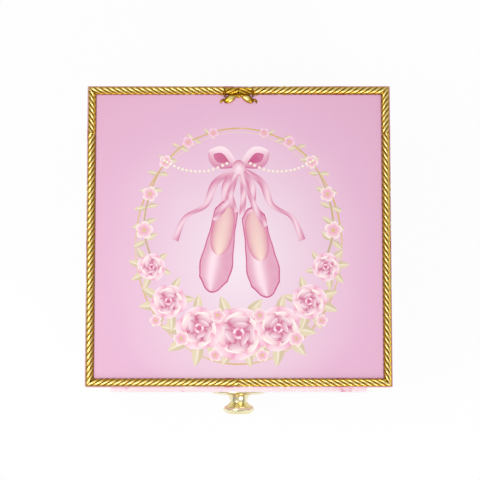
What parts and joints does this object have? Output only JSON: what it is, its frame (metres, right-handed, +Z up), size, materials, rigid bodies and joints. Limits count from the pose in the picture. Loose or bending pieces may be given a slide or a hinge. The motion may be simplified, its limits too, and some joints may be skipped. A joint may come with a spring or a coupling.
{
  "type": "musical jewellery box",
  "caption": "Square printed jewellery box with a rope-edged hinged lid, a knobbed drawer and a dancer on a spring turned by a key-wound musical movement.",
  "frame": {"origin": "middle of the underside of the box", "axes": "+Z up, front with the drawer towards -Y, +X to the right seen from the front"},
  "size_m": [0.12, 0.1465, 0.1101],
  "materials": {
    "printed_board": "pink printed paper over board, satin",
    "picture_print": "printed paper, satin",
    "drawer_card": "pink paper over board, matt",
    "velvet": "short velvet pile",
    "satin": "padded satin",
    "gold_trim": "bright gold plating",
    "knob_gold": "polished pale gold",
    "hinge_brass": "brass plated, satin",
    "mirror_glass": "silvered",
    "frame_plastic": "gold coloured moulding",
    "movement_zinc": "die cast, dull",
    "movement_steel": "spring steel",
    "movement_brass": "turned brass",
    "gear_plastic": "moulded, ivory",
    "governor_plastic": "moulded, black",
    "doll_plastic": "moulded and painted",
    "tulle": "stiff net"
  },
  "bodies": {
    "case": {"bottom_panel": "printed_board", "side_panel_left": "printed_board", "side_panel_right": "printed_board", "back_panel": "printed_board", "front_panel": "printed_board", "compartment_floor": "drawer_card", "bay_partition": "drawer_card", "drawer_guides": "drawer_card", "floor_lining": "velvet", "stage_platform": "velvet", "ring_rolls": "satin", "tray_wall": "velvet", "spindle_bush": "movement_brass", "plunger_guide": "movement_brass", "bedplate": "movement_zinc", "bedplate_screws": "movement_steel", "comb": "movement_steel", "comb_screws": "movement_steel", "governor_housing": "governor_plastic", "hinge_case_leaves": "hinge_brass", "hinge_pins": "hinge_brass", "hinge_case_screws": "hinge_brass"},
    "lid": {"lid_board": "printed_board", "lid_rim_front": "printed_board", "lid_rim_back": "printed_board", "lid_rim_left": "printed_board", "lid_rim_right": "printed_board", "lid_picture": "picture_print", "rope_front": "gold_trim", "rope_back": "gold_trim", "rope_left": "gold_trim", "rope_right": "gold_trim", "bow_ornament": "gold_trim", "mirror": "mirror_glass", "mirror_frame": "frame_plastic", "hinge_lid_leaves": "hinge_brass", "hinge_lid_screws": "hinge_brass"},
    "drawer": {"drawer_front": "printed_board", "drawer_side_left": "drawer_card", "drawer_side_right": "drawer_card", "drawer_back": "drawer_card", "drawer_bottom": "drawer_card", "drawer_lining": "velvet", "knob_rosette": "knob_gold", "knob": "knob_gold", "knob_screw": "movement_steel"},
    "key": {"winding_key": "movement_brass", "winding_arbor": "movement_steel"},
    "barrel": {"spring_barrel": "gear_plastic", "mainspring": "movement_steel"},
    "cylinder": {"music_cylinder": "movement_brass", "cylinder_gear": "gear_plastic"},
    "governor": {"governor_pinion": "gear_plastic"},
    "fan": {"governor_fan": "governor_plastic"},
    "dancer": {"dancer_spindle": "movement_steel", "dancer_spring": "movement_steel", "dancer_figure": "doll_plastic", "dancer_tutu": "tulle"},
    "stop": {"stop_plunger": "movement_steel", "plunger_spring": "movement_steel"}
  },
  "joints": [
    {"name": "lid_hinge", "type": "hinge", "parent": "case", "child": "lid", "pos_m": [0, 0.0611, 0.0902], "axis": [-1, 0, 0], "range_deg": [0, 100]},
    {"name": "drawer_slide", "type": "slide", "parent": "case", "child": "drawer", "axis": [0, -1, 0], "range_m": [0, 0.06]},
    {"name": "key_wind", "type": "hinge", "parent": "case", "child": "key", "pos_m": [0, 0.06, 0.0263], "axis": [0, 1, 0], "continuous": true},
    {"name": "barrel_spin", "type": "hinge", "parent": "case", "child": "barrel", "pos_m": [0, 0.05, 0.0263], "axis": [0, 1, 0], "continuous": true},
    {"name": "cylinder_spin", "type": "hinge", "parent": "case", "child": "cylinder", "pos_m": [0.026, 0.03925, 0.0263], "axis": [1, 0, 0], "continuous": true},
    {"name": "governor_spin", "type": "hinge", "parent": "case", "child": "governor", "pos_m": [0.0384, 0.03925, 0.0153], "axis": [1, 0, 0], "continuous": true},
    {"name": "fan_spin", "type": "hinge", "parent": "case", "child": "fan", "pos_m": [0.0474, 0.04405, 0.031], "axis": [0, 0, 1], "continuous": true},
    {"name": "dancer_spin", "type": "hinge", "parent": "case", "child": "dancer", "pos_m": [0, 0.03925, 0.05], "axis": [0, 0, 1], "continuous": true},
    {"name": "stop_rise", "type": "slide", "parent": "case", "child": "stop", "axis": [0, 0, 1], "range_m": [0, 0.003], "deforming": ["plunger_spring"]}
  ],
  "couplings": [
    {"joint": "cylinder_spin", "follows": "barrel_spin", "ratio": -3},
    {"joint": "governor_spin", "follows": "barrel_spin", "ratio": 8},
    {"joint": "fan_spin", "follows": "barrel_spin", "ratio": 40},
    {"joint": "dancer_spin", "follows": "barrel_spin", "ratio": -3},
    {"joint": "stop_rise", "follows": "lid_hinge", "m_per_rad": 0.0017189}
  ]
}
